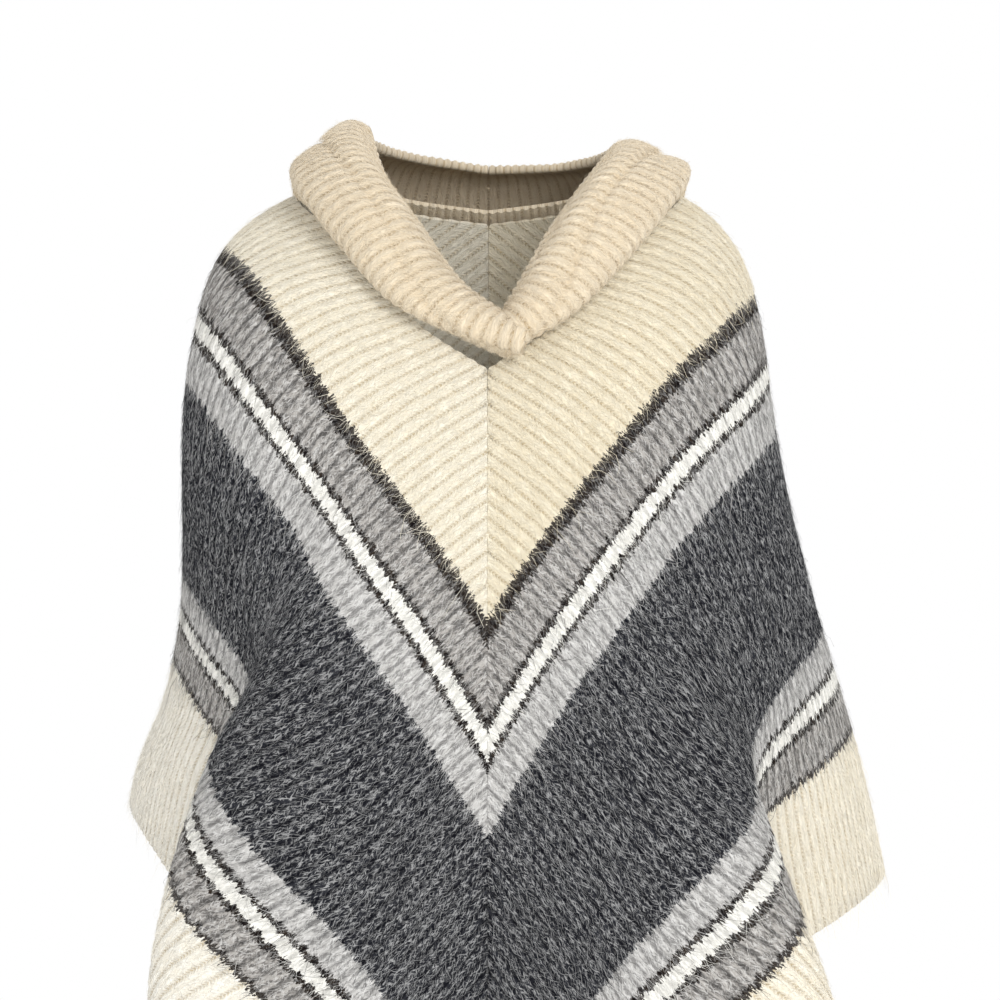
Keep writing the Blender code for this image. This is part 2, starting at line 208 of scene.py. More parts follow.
def smooth(x, table, column):
    """One column of a table, read between its rows with no overshoot."""
    rows = sorted(table)
    xs = np.array([r[0] for r in rows], float)
    ys = np.array([r[column] for r in rows], float)
    step, rise = np.diff(xs), np.diff(ys) / np.diff(xs)
    slope = np.concatenate([[rise[0]], np.zeros(len(xs) - 2), [rise[-1]]])
    for i in range(1, len(xs) - 1):
        if rise[i - 1] * rise[i] > 0:
            a, b = 2 * step[i] + step[i - 1], step[i] + 2 * step[i - 1]
            slope[i] = (a + b) / (a / rise[i - 1] + b / rise[i])
    return hermite(x, xs, ys, slope)


def flowing(x, table, column):
    """One column of a table, read along a soft curve through its rows."""
    rows = sorted(table)
    xs = np.array([r[0] for r in rows], float)
    ys = np.array([r[column] for r in rows], float)
    return hermite(x, xs, ys, np.gradient(ys, xs))


def eased(level, starts, full):
    """0 above the level where something starts and 1 where it is full."""
    t = min(max((starts - level) / (starts - full), 0.0), 1.0)
    return t * t * (3 - 2 * t)


def plan(side, level, places):
    """The drape's outline at one level, from centre front round to the back."""
    width, back_by, square = (
        smooth(level, SECTIONS, k + (0 if side < 0 else 3)) for k in (1, 2, 3)
    )
    psi = np.linspace(0, math.pi / 2, 181)
    points = np.zeros((len(places), 2))
    along = np.zeros_like(points)
    outward = np.zeros_like(points)
    for facing, depth in ((-1, smooth(level, SECTIONS, 7)), (1, smooth(level, SECTIONS, 8))):
        x = width * np.sin(psi) ** (2 / square)
        y = facing * depth * np.cos(psi) ** (2 / square) + back_by * np.sin(psi) ** 2
        run = np.concatenate([[0], np.cumsum(np.hypot(np.diff(x), np.diff(y)))])
        here = places >= 0 if facing < 0 else places < 0
        at = (1 - np.abs(places[here])) * run[-1]
        points[here] = np.c_[np.interp(at, run, x), np.interp(at, run, y)]
        way = np.c_[
            np.interp(at + 0.4, run, x) - np.interp(at - 0.4, run, x),
            np.interp(at + 0.4, run, y) - np.interp(at - 0.4, run, y),
        ]
        way /= np.linalg.norm(way, axis=1)[:, None]
        along[here] = way
        outward[here] = np.c_[way[:, 1], -way[:, 0]] * -facing
    for fold_side, place, half, starts, full, reach, rise in FOLDS:
        if fold_side != side:
            continue
        q = (places - place) / half * (1 if place > 0 else -1)
        near = np.where(np.sign(places) == np.sign(place), np.abs(places), 0.0)
        held_in = np.clip(near / 0.2, 0, 1) * np.clip((1 - near) / 0.25, 0, 1)
        grown = eased(level, starts, full) * held_in**2 * (3 - 2 * held_in)
        swing = q * np.exp((1 - q * q) / 2)
        lift = np.tanh((q - 1) / FOLD_ROUND) + 1.6 * np.tanh((q + 1) / FOLD_ROUND)
        lift = lift / 2.6 * np.exp(-((q / 3.2) ** 2))
        points += (reach * grown * swing)[:, None] * along
        points += (rise * np.sqrt(grown) * lift)[:, None] * outward
    valley = VALLEY_DEPTH * eased(level, VALLEY_STARTS, VALLEY_FULL)
    valley = valley * np.exp(-(((1 - np.abs(places)) / VALLEY_HALF) ** 2))
    points[:, 1] += np.where(places >= 0, valley, -valley)
    return points


class Cloth:
    """The worn surface of one panel, read at flat places u across and v along."""

    STEP = 0.5  # cm between the grid's points down the cloth

    def __init__(self, side):
        self.side = side
        self.places = np.linspace(1, -1, 361)
        neck = np.stack([flowing(self.places, NECK, k) for k in (1, 2, 3)], axis=1)
        self.radius = flowing(self.places, NECK, 4 if side < 0 else 5)
        drops = np.concatenate([np.linspace(0, 12, 49), np.linspace(12.6, 112, 160)])
        levels = np.linspace(4, -126, 131)
        plans = np.array([plan(side, level, self.places) for level in levels])
        lengths = np.arange(0, 106, self.STEP)
        self.grid = np.zeros((len(self.places), len(lengths), 3))
        for i, place in enumerate(self.places):
            z = neck[i, 2] - drops
            out = 1 - np.exp(-drops / (SHOULDER_ROUND_CM + 2.0 * place**2))
            x = neck[i, 0] + (np.interp(-z, -levels, plans[:, i, 0]) - neck[i, 0]) * out
            y = neck[i, 1] + (np.interp(-z, -levels, plans[:, i, 1]) - neck[i, 1]) * out
            path = np.stack([side * x, y, z], axis=1)
            run = np.concatenate([[0], np.cumsum(np.linalg.norm(np.diff(path, axis=0), axis=1))])
            for c in range(3):
                self.grid[i, :, c] = np.interp(lengths, run, path[:, c])

    def at(self, u, v):
        """Where the flat place (u, v) hangs."""
        place = np.clip(np.arctan2(u, v) / MITRE, -1, 1)
        run = np.hypot(u, v) - np.interp(-place, -self.places, self.radius)
        a = (1 - place) / 2 * (len(self.places) - 1)
        b = np.clip(run / self.STEP, 0, self.grid.shape[1] - 1.001)
        i = np.minimum(a.astype(int), len(self.places) - 2)
        j = b.astype(int)
        s, t = (a - i)[..., None], (b - j)[..., None]
        g = self.grid
        return (1 - s) * ((1 - t) * g[i, j] + t * g[i, j + 1]) + s * (
            (1 - t) * g[i + 1, j] + t * g[i + 1, j + 1]
        )

    def outward(self, u, v, reach=0.5):
        """The way out from the cloth there."""
        most = v * math.tan(MITRE) - 0.01
        across = self.at(np.clip(u + reach, -most, most), v) - self.at(
            np.clip(u - reach, -most, most), v
        )
        above = np.maximum(v - reach, np.abs(u) / math.tan(MITRE))
        along = self.at(u, v + reach) - self.at(u, above)
        normal = np.cross(across, along) * self.side
        return normal / np.maximum(np.linalg.norm(normal, axis=-1), 1e-9)[..., None]

    def starts(self, u):
        """Where each wale begins, at the neck or at the seam."""
        wales = np.linspace(-32, 32, 641)
        v = np.linspace(12.0, 32.0, 1200)[None, :]
        inside = np.hypot(wales[:, None], v) >= np.interp(
            -np.clip(np.arctan2(wales[:, None], v) / MITRE, -1, 1), -self.places, self.radius
        )
        at_neck = v[0][np.argmax(inside, axis=1)]
        return np.maximum(np.abs(u) / math.tan(MITRE), np.interp(u, wales, at_neck))


class Hood:
    """The worn surface of half the hood, from its face edge to the neck seam."""

    def __init__(self, side):
        self.side = side
        fine = np.linspace(1, -1, 161)
        cage = np.zeros((6, len(fine), 3))
        for k in range(5):
            for c in range(3):
                cage[k, :, c] = flowing(fine, HOODS[side], 1 + 3 * k + c)
        for c in range(3):
            cage[5, :, c] = flowing(fine, NECK, 1 + c)
        lie = np.clip(np.where(fine > -0.05, (fine + 0.05) / 0.25, -fine / 0.6), 0, 1)
        cage[5, :, 2] += 0.6 + 0.66 * lie
        cage[:, :, 0] *= side
        cage[:, :, 0] += LAP_CM * np.clip((fine - 0.5) / 0.5, 0, 1) ** 2
        # the left half's end lies over the right one's
        if side < 0:
            over = np.clip((fine - 0.6) / 0.4, 0, 1) ** 2
            cage[:5, :, 0] += 2.0 * over
            cage[5, :, 0] += 0.6 * over
            cage[:, :, 1] -= np.array([0.75, 0.8, 0.8, 0.8, 0.8, 0.4])[:, None] * over
            cage[:, :, 2] += np.array([-0.5, -0.3, 0.0, 0.1, 0.2, 0.0])[:, None] * over
        knots, taus = np.linspace(0, 1, 6), np.linspace(0, 1, 61)
        surface = np.zeros((len(taus), len(fine), 3))
        for i in range(len(fine)):
            for c in range(3):
                surface[:, i, c] = hermite(
                    taus, knots, cage[:, i, c], np.gradient(cage[:, i, c], knots)
                )
        self.run = np.concatenate(
            [[0], np.cumsum(np.linalg.norm(np.diff(surface[20], axis=0), axis=1))]
        )
        self.length = self.run[-1]
        self.even = np.zeros((81, len(fine), 3))
        self.deep = np.zeros(len(fine))
        for i in range(len(fine)):
            run = np.concatenate(
                [[0], np.cumsum(np.linalg.norm(np.diff(surface[:, i], axis=0), axis=1))]
            )
            self.deep[i] = run[-1]
            for c in range(3):
                self.even[:, i, c] = np.interp(np.linspace(0, run[-1], 81), run, surface[:, i, c])

    def depth(self, u):
        """How deep the half is from its face edge to the neck seam."""
        return np.interp(u, self.run, self.deep)

    def at(self, u, t):
        """Where the cloth hangs, u along it and t of its depth from the face edge."""
        a = np.clip(np.interp(u, self.run, np.arange(len(self.run))), 0, len(self.run) - 1.001)
        b = np.clip(t, 0, 1) * 79.999
        i, j = a.astype(int), b.astype(int)
        s, r = (a - i)[..., None], (b - j)[..., None]
        g = self.even
        return (1 - r) * ((1 - s) * g[j, i] + s * g[j, i + 1]) + r * (
            (1 - s) * g[j + 1, i] + s * g[j + 1, i + 1]
        )

    def outward(self, u, t):
        """The way out from the cloth there."""
        across = self.at(np.minimum(u + 0.5, self.length), t) - self.at(np.maximum(u - 0.5, 0), t)
        along = self.at(u, np.minimum(t + 0.03, 1)) - self.at(u, np.maximum(t - 0.03, 0))
        normal = -np.cross(across, along) * self.side
        return normal / np.maximum(np.linalg.norm(normal, axis=-1), 1e-9)[..., None]


# Soft creases in the panels, each a trough or ridge along a line in the cut.
CREASES = (
    # side, u from, v from, u to, v to, half width, height
    (-1, 10.0, 27.0, 3.0, 44.0, 2.6, 0.30),
    (-1, 20.0, 30.0, 22.0, 52.0, 3.0, -0.45),
    (-1, 31.0, 38.0, 30.0, 62.0, 3.4, 0.40),
    (-1, 46.0, 50.0, 44.0, 70.0, 4.0, -0.40),
    (-1, -12.0, 28.0, -14.0, 50.0, 3.0, 0.35),
    (-1, -30.0, 38.0, -34.0, 62.0, 3.6, -0.40),
    (1, 12.0, 27.5, 6.0, 42.0, 2.4, 0.30),
    (1, 22.0, 31.0, 18.0, 50.0, 3.2, -0.40),
    (1, 30.0, 36.0, 33.0, 58.0, 3.4, 0.40),
    (1, 50.0, 54.0, 47.0, 72.0, 4.0, -0.40),
    (1, -14.0, 29.0, -12.0, 48.0, 3.0, -0.35),
    (1, -28.0, 38.0, -30.0, 60.0, 3.6, 0.40),
)


def creased(side, u, v):
    """How far one panel's creases lift it."""
    height = np.zeros_like(u)
    for crease_side, u0, v0, u1, v1, half, deep in CREASES:
        if crease_side != side:
            continue
        du, dv = u1 - u0, v1 - v0
        t = np.clip(((u - u0) * du + (v - v0) * dv) / (du * du + dv * dv), 0, 1)
        away = np.hypot(u - u0 - t * du, v - v0 - t * dv)
        height += deep * np.exp(-((away / half) ** 2)) * (0.55 + 0.45 * np.sin(math.pi * t))
    return height


def settled(cloth, u, v):
    """Creases die out at the seams, but for the trough down centre front."""
    at_seam = np.clip((v * math.tan(MITRE) - np.abs(u)) / 4, 0, 1)
    return np.clip((v - cloth.starts(u)) / 5, 0, 1) * at_seam


def trough(u, v):
    """The cloth sinks between the two panels, below the bands."""
    away = (v * math.tan(MITRE) - np.abs(u)) * math.cos(MITRE)
    grown = np.clip((v - 38.0) / 8, 0, 1)
    return -0.9 * grown * grown * (3 - 2 * grown) * np.exp(-((away / 1.5) ** 2))


def uneven(u, v, seed):
    """A smooth unevenness between about -1 and 1, the same on each run."""
    wave = np.random.default_rng(seed)
    total = np.zeros_like(u)
    for _ in range(7):
        turn, size, phase = wave.uniform(0, math.pi), wave.uniform(2.2, 9.0), wave.uniform(0, 7)
        total += np.sin((u * math.cos(turn) + v * math.sin(turn)) * 2 * math.pi / size + phase)
    return total / 4


def slip(side, u, v):
    """How far the lower bands of each panel lie nearer the neck in front."""
    low = np.clip((v - 44.0) / 11, 0, 1)
    low = low * low * (3 - 2 * low)
    place = np.arctan2(u, v) / MITRE
    seam = np.clip((1 - place) / 0.3, 0, 1)
    if side < 0:
        return (1.2 * low + 1.2 * np.clip((v - 56) / 9, 0, 1)) * seam * np.clip(1 + place * 2, 0, 1)
    return -2.0 * low * np.clip((v - 44) / 6, 0, 1) * seam * np.clip((place - 0.25) / 0.3, 0, 1)


def rib(u):
    """1 along the top of a rib and 0 in the groove beside it."""
    return (0.5 + 0.5 * np.cos(2 * math.pi * u / RIB_CM)) ** 0.8


def placed(name, mesh, cuts, material):
    """Give a mesh its points' flat places and its cloth, and put it in the scene."""
    cut = mesh.uv_layers.new(name="cut")
    owner = np.zeros(len(mesh.loops), int)
    mesh.loops.foreach_get("vertex_index", owner)
    cut.data.foreach_set("uv", (cuts[owner] / 100).ravel())
    mesh.materials.append(material)
    mesh.shade_smooth()
    obj = bpy.data.objects.new(name, mesh)
    bpy.context.scene.collection.objects.link(obj)
    return obj


def woven(name, loops, cuts, first, material):
    """A closed shell from one loop of points for each column. The cuts are the
    points' flat places, and first is where each column really begins."""
    columns, ring = loops.shape[:2]
    rows = (ring - 4) // 2
    order = np.arange(ring)[None, :].repeat(columns, 0)
    begin = first[:, None]
    order = np.where(order < rows, np.maximum(order, begin), order)
    inner = (order >= rows + 2) & (order < 2 * rows + 2)
    order = np.where(inner, np.minimum(order, 2 * rows + 1 - begin), order)
    index = np.arange(columns)[:, None] * ring + order
    a, b = index[:-1], index[1:]
    quads = np.stack([a, b, np.roll(b, -1, 1), np.roll(a, -1, 1)], axis=-1).reshape(-1, 4)
    left, right = quads[:, 0] == quads[:, 3], quads[:, 1] == quads[:, 2]
    faces = [tuple(f) for f in quads[~left & ~right]]
    faces += [tuple(f[[0, 1, 2]]) for f in quads[left & ~right]]
    faces += [tuple(f[[0, 1, 3]]) for f in quads[right & ~left]]
    for k in (0, -1):
        cap = list(dict.fromkeys(index[k].tolist()))
        faces.append(tuple(cap if k == 0 else cap[::-1]))
    kept = np.zeros(columns * ring, bool)
    for f in faces:
        kept[list(f)] = True
    renumber = np.cumsum(kept) - 1
    mesh = bpy.data.meshes.new(name)
    mesh.from_pydata(
        (loops.reshape(-1, 3)[kept] / 100).tolist(), [], [tuple(renumber[list(f)]) for f in faces]
    )
    obj = placed(name, mesh, cuts.reshape(-1, 2)[kept], material)
    bpy.context.view_layer.objects.active = obj
    obj.select_set(True)
    bpy.ops.object.mode_set(mode="EDIT")
    bpy.ops.mesh.select_all(action="SELECT")
    bpy.ops.mesh.normals_make_consistent(inside=False)
    bpy.ops.object.mode_set(mode="OBJECT")
    obj.select_set(False)
    mesh.set_sharp_from_angle(angle=math.radians(72))
    return obj


def shell_loops(points, normals, high, low, edge_out, cut_u, cut_v):
    """Outer side down, the rounded lower edge, inner side up, the upper edge."""
    outer = points + normals * high[..., None]
    inner = points + normals * low[..., None]
    down = points[:, -1] - points[:, -2]
    down /= np.maximum(np.linalg.norm(down, axis=-1), 1e-9)[..., None]
    thick = (high - low)[:, -1]
    rim = [
        points[:, -1] + normals[:, -1] * (low[:, -1] + thick * share)[:, None] + down * edge_out
        for share in (0.72, 0.25)
    ]
    thick = (high - low)[:, 0]
    top = [
        points[:, 0] + normals[:, 0] * (low[:, 0] + thick * share)[:, None]
        for share in (0.25, 0.72)
    ]
    loops = np.concatenate(
        [outer, np.stack(rim, 1), inner[:, ::-1], np.stack(top, 1)], axis=1
    )
    flat = np.stack([cut_u, cut_v], -1)
    ends, starts = flat[:, -1:], flat[:, :1]
    cuts = np.concatenate([flat, ends, ends, flat[:, ::-1], starts, starts], axis=1)
    return loops, cuts


def panel(name, cloth, material):
    """The knit of one panel, four columns to a rib, from the neck to the hem."""
    side = cloth.side
    corner = HEM_CM * math.tan(MITRE) - 0.3
    count = int(corner / (RIB_CM / 4))
    u = np.arange(-count, count + 1) * RIB_CM / 4
    start = cloth.starts(u)
    rows = np.concatenate([[10.0], np.arange(18.0, HEM_CM - 0.8, 1.5), [HEM_CM]])
    first = np.searchsorted(rows, start + 0.35) - 1
    v = np.maximum(rows[None, :], start[:, None])
    late = np.arange(len(rows))[None, :] == first[:, None]
    v = np.where(late, start[:, None], v)
    uu = np.repeat(u[:, None], len(rows), 1)
    points, normals = cloth.at(uu, v), cloth.outward(uu, v)
    shift = creased(side, uu, v) + 0.05 * uneven(uu, v, 5 + side)
    shift = shift * settled(cloth, uu, v) + trough(uu, v)
    high = WALL_CM + RIB_RAISE_CM * rib(uu) + 0.02 * uneven(uu * 3, v * 2, 9 + side) + shift
    loops, cuts = shell_loops(points, normals, high, shift, 0.1, uu, v + slip(side, uu, v))
    # the lower rows of a column repeat its first point, so its top edge starts there
    k = np.arange(len(u))
    begin_out, begin_in = loops[k, first], loops[k, 2 * len(rows) + 1 - first]
    loops[:, -2] = begin_in + (begin_out - begin_in) * 0.25
    loops[:, -1] = begin_in + (begin_out - begin_in) * 0.72
    cuts[:, -2:] = cuts[k, first][:, None]
    loops[..., 0] = side * np.maximum(side * loops[..., 0], SEAM_GAP_CM / 2)
    return woven(name, loops, cuts, first, material)


def hood_high(hood, u, t):
    """The hood cloth's thickness: its face edge is turned in and stitched."""
    deep = t * hood.depth(u)
    doubled = 0.24 * np.clip(1 - (deep / HOOD_EDGE_CM) ** 6, 0, 1)
    stitched = 0.30 * np.exp(-(((deep - HOOD_EDGE_CM) / 0.34) ** 2))
    return WALL_CM + doubled * 1.3 - stitched * (1.25 if hood.side > 0 else 0.9)


def hood_half(name, hood, material):
    """The knit of half the hood, five columns to a rib."""
    side = hood.side
    count = int(hood.length / RIB_CM) * 5
    u = np.linspace(0, hood.length, count + 1)
    t = np.linspace(0, 1, 44)
    uu, tt = np.meshgrid(u, t, indexing="ij")
    points, normals = hood.at(uu, tt), hood.outward(uu, tt)
    pitch = hood.length / int(hood.length / RIB_CM)
    ribs = (0.5 - 0.5 * np.cos(2 * math.pi * uu / pitch)) ** 0.8
    puff = 0.05 * uneven(uu, tt * hood.depth(uu), 21 + side)
    high = hood_high(hood, uu, tt) + RIB_RAISE_CM * ribs + puff
    # each column runs to the face edge last, which gives that edge its round lip
    points, normals = points[:, ::-1], normals[:, ::-1]
    high, uu, tt = high[:, ::-1], uu[:, ::-1], tt[:, ::-1]
    loops, cuts = shell_loops(
        points, normals, high, 0 * high, 0.2, uu * RIB_CM / pitch + RIB_CM / 2, tt * hood.depth(uu)
    )
    front = uu[:, :1] < hood.length * 0.5
    centre = np.where(front, LAP_CM if side > 0 else 9.0, 0.0)
    near_end = (uu[:, :1] < 2.5) | (uu[:, :1] > hood.length * 0.5)
    held = side * np.maximum(side * (loops[..., 0] - centre), SEAM_GAP_CM / 2) + centre
    loops[..., 0] = np.where(near_end, held, loops[..., 0])
    first = np.zeros(len(u), int)
    return woven(name, loops, cuts, first, material)


def fibres(name, roots, across, normals, widths, cuts, material, seed):
    """Brushed fibres as narrow bent ribbons, each running out to a point."""
    count, steps = roots.shape[:2]
    way = np.gradient(roots, axis=1)
    sideways = np.cross(way, normals[:, None])
    sideways /= np.maximum(np.linalg.norm(sideways, axis=-1), 1e-9)[..., None]
    turned = across[:, None, None]
    spread = np.cos(turned) * sideways + np.sin(turned) * normals[:, None]
    taper = np.linspace(1.0, 0.7, steps - 1)[None, :, None]
    half = spread[:, :-1] * widths[:, None, None] * taper / 2
    body = np.stack([roots[:, :-1] - half, roots[:, :-1] + half], axis=2)
    each = 2 * (steps - 1) + 1
    points = np.concatenate([body.reshape(count, -1, 3), roots[:, -1:]], axis=1)
    base = np.arange(count)[:, None] * each
    k = 2 * np.arange(steps - 2)[None, :]
    quads = np.stack([base + k, base + k + 1, base + k + 3, base + k + 2], -1).reshape(-1, 4)
    tips = np.concatenate([base + each - 3, base + each - 2, base + each - 1], axis=1)
    corners = np.concatenate([quads.ravel(), tips.ravel()])
    starts = np.concatenate(
        [np.arange(len(quads)) * 4, len(quads) * 4 + np.arange(count) * 3]
    )
    mesh = bpy.data.meshes.new(name)
    mesh.vertices.add(count * each)
    mesh.vertices.foreach_set("co", (points / 100).ravel())
    mesh.loops.add(len(corners))
    mesh.loops.foreach_set("vertex_index", corners)
    mesh.polygons.add(len(starts))
    mesh.polygons.foreach_set("loop_start", starts)
    mesh.update(calc_edges=True)
    mesh.validate()
    shade = mesh.color_attributes.new("tone", "FLOAT_COLOR", "POINT")
    tone = np.repeat(np.random.default_rng(seed).random(count), each)
    shade.data.foreach_set("color", np.stack([tone, tone, tone, np.ones_like(tone)], 1).ravel())
    return placed(name, mesh, np.repeat(cuts, each, axis=0), material)


def bent(rng, u, v, length, lean, bend, steps):
    """Flat places along each fibre, which leans off the wale and bends."""
    t = np.linspace(0, 1, steps)
    turn = rng.normal(0, lean, len(u))[:, None] + rng.normal(0, bend, len(u))[:, None] * t
    step = length[:, None] / (steps - 1)
    du = np.concatenate([np.zeros((len(u), 1)), np.cumsum(step * np.sin(turn[:, :-1]), 1)], 1)
    dv = np.concatenate([np.zeros((len(u), 1)), np.cumsum(step * np.cos(turn[:, :-1]), 1)], 1)
    return u[:, None] + du, v[:, None] + dv


def panel_nap(name, cloth, material, count, seed, long):
    """Fibres brushed down the wales of a panel, standing a little off it."""
    rng = np.random.default_rng(seed)
    v = np.sqrt(rng.uniform(20.0**2, HEM_CM**2, count * 4))
    u = rng.uniform(-1, 1, len(v)) * v * math.tan(MITRE)
    ends = np.array([end for end, dye in STRIPES])
    dark = np.array([dye == "umber" for end, dye in STRIPES])[np.searchsorted(ends, v)]
    thin_out = np.where(dark, 0.4, 1.0) * np.where((rib(u) < 0.35) & (v > 30), 0.3, 1.0)
    keep = (v > cloth.starts(u) + 0.2) & (rng.random(len(v)) < thin_out)
    u, v, dark = u[keep][:count], v[keep][:count], dark[keep][:count]
    napped = (v > FIRST_ROOTS_CM) & (v < NAPPED_CM[1])
    steps = 4 if long else 3
    length = rng.gamma(6.0, 0.30 if long else 0.13, len(u))
    length = length * np.where(napped, 1.1, 0.8) * np.where(dark, 0.4, 1.0) + 0.2
    pu, pv = bent(rng, u, v, length, 0.38 if long else 0.32, 1.1 if long else 0.6, steps)
    most = pv * math.tan(MITRE)
    pu = np.where(np.abs(u[:, None]) < most, np.clip(pu, -most, most), u[:, None])
    points, normal = cloth.at(pu, pv), cloth.outward(u, v)
    raise_by = rng.gamma(2.0, 0.055 if long else 0.035, len(u))
    arch = np.interp(np.linspace(0, 1, steps), [0, 0.35, 0.75, 1], [-0.5, 1.0, 1.4, 1.1])
    high = WALL_CM + RIB_RAISE_CM * rib(pu) + raise_by[:, None] * arch
    shift = creased(cloth.side, u, v) * settled(cloth, u, v) + trough(u, v)
    points = points + normal[:, None] * (high + shift[:, None])[..., None]
    widths = rng.uniform(0.018, 0.034, len(u)) * (1.0 if long else 0.9)
    across = rng.uniform(-0.9, 0.9, len(u))
    flat = np.stack([u, v + slip(cloth.side, u, v)], 1)
    return fibres(name, points, across, normal, widths, flat, material, seed)


def hood_nap(name, hood, material, count, seed):
    """Fibres brushed over half the hood."""
    rng = np.random.default_rng(seed)
    u, t = rng.uniform(0, hood.length, count), rng.uniform(0, 1, count)
    length = rng.gamma(5.0, 0.14, count) + 0.15
    pu, pv = bent(rng, u, t * hood.depth(u), length, 0.8, 1.2, 3)
    pu, pt = np.clip(pu, 0, hood.length), pv / hood.depth(u)[:, None]
    points, normal = hood.at(pu, pt), hood.outward(u, t)
    raise_by = rng.gamma(2.0, 0.035, count)
    high = hood_high(hood, u, t)[:, None] + RIB_RAISE_CM * 0.6
    high = high + raise_by[:, None] * np.array([-0.5, 1.1, 1.3])
    points = points + normal[:, None] * high[..., None]
    widths, across = rng.uniform(0.016, 0.030, count), rng.uniform(-0.9, 0.9, count)
    flat = np.stack([u, np.full(count, 20.0)], 1)
    return fibres(name, points, across, normal, widths, flat, material, seed)


def seam_yarn(name, centre, cuts, material):
    """The sewn yarn that closes a join along a line, seen in its groove."""
    way = np.gradient(centre, axis=0)
    way /= np.linalg.norm(way, axis=1)[:, None]
    turn = np.linspace(0, 2 * math.pi, 7)[:-1]
    across = np.array([1.0, 0.0, 0.0])[None]
    up = np.cross(way, across)
    ring = (
        centre[:, None]
        + 0.16 * np.cos(turn)[None, :, None] * across[:, None]
        + 0.07 * np.sin(turn)[None, :, None] * up[:, None]
    )
    n = len(centre)
    faces = [
        (a * 6 + k, a * 6 + (k + 1) % 6, a * 6 + 6 + (k + 1) % 6, a * 6 + 6 + k)
        for a in range(n - 1)
        for k in range(6)
    ]
    faces += [tuple(range(5, -1, -1)), tuple(range(n * 6 - 6, n * 6))]
    mesh = bpy.data.meshes.new(name)
    mesh.from_pydata((ring.reshape(-1, 3) / 100).tolist(), [], faces)
    return placed(name, mesh, np.repeat(cuts, 6, axis=0), material)


def panel_seam(name, cloth, place, material):
    """The join of the two panels, at place 1 in front or -1 behind."""
    v = np.arange(19.0, HEM_CM - 0.2, 0.12)
    v = v[v > math.cos(MITRE) * cloth.radius[0 if place > 0 else -1] + 0.1]
    u = place * v * math.tan(MITRE)
    normal = cloth.outward(u * 0.985, v) * [0, 1, 1]
    normal /= np.linalg.norm(normal, axis=1)[:, None]
    high = WALL_CM * 0.88 + 0.02 * np.sin(2 * math.pi * v / 0.48) + trough(u, v)
    centre = (cloth.at(u, v) + normal * high[:, None]) * [0, 1, 1]
    return seam_yarn(name, centre, np.stack([u, v], 1), material)


def hood_seam(name, hood, material):
    """The join of the hood's halves down its back."""
    t = np.linspace(0.01, 0.99, 160)
    u = np.full(len(t), hood.length)
    normal = hood.outward(u, t) * [0, 1, 1]
    normal /= np.linalg.norm(normal, axis=1)[:, None]
    deep = t * hood.depth(u)
    high = hood_high(hood, u, t) * 0.6 + 0.02 * np.sin(2 * math.pi * deep / 0.48)
    centre = (hood.at(u, t) + normal * high[:, None]) * [0, 1, 1]
    return seam_yarn(name, centre, np.stack([u, deep], 1), material)


class Tree:
    """Short helpers for writing node trees."""

    def __init__(self, tree):
        self.tree = tree

    def node(self, kind, **values):
        made = self.tree.nodes.new(kind)
        for key, value in values.items():
            setattr(made, key, value)
        return made

    def put(self, socket, value):
        if isinstance(value, bpy.types.NodeSocket):
            self.tree.links.new(value, socket)
        else:
            socket.default_value = value

    def math(self, operation, a, b=0.0):
        made = self.node("ShaderNodeMath", operation=operation)
        for socket, value in zip(made.inputs, (a, b)):
            self.put(socket, value)
        return made.outputs[0]

    def span(self, value, low, high, to_low=0.0, to_high=1.0, smoothly=True):
        made = self.node("ShaderNodeMapRange")
        made.interpolation_type = "SMOOTHSTEP" if smoothly else "LINEAR"
        for socket, item in zip(made.inputs, (value, low, high, to_low, to_high)):
            self.put(socket, item)
        return made.outputs[0]

    def mix(self, share, a, b, blend="MIX"):
        made = self.node("ShaderNodeMix", data_type="RGBA", blend_type=blend)
        self.put(made.inputs[0], share)
        self.put(made.inputs[6], a)
        self.put(made.inputs[7], b)
        return made.outputs[2]

    def noise(self, vector, scale, detail=3.0, rough=0.55):
        made = self.node("ShaderNodeTexNoise")
        self.put(made.inputs["Vector"], vector)
        self.put(made.inputs["Scale"], scale)
        self.put(made.inputs["Detail"], detail)
        self.put(made.inputs["Roughness"], rough)
        return made.outputs[0]

    def scaled(self, vector, x, y, z=1.0):
        made = self.node("ShaderNodeVectorMath", operation="MULTIPLY")
        self.put(made.inputs[0], vector)
        made.inputs[1].default_value = (x, y, z)
        return made.outputs[0]


def grouped(name, inputs, outputs, build):
    """A node group whose build gives a socket for each output."""
    group = bpy.data.node_groups.new(name, "ShaderNodeTree")
    for label, kind in inputs:
        group.interface.new_socket(label, in_out="INPUT", socket_type=kind)
    for label, kind in outputs:
        group.interface.new_socket(label, in_out="OUTPUT", socket_type=kind)
    tree = Tree(group)
    ends = tree.node("NodeGroupInput"), tree.node("NodeGroupOutput")
    for label, socket in build(tree, ends[0].outputs).items():
        group.links.new(socket, ends[1].inputs[label])
    return group


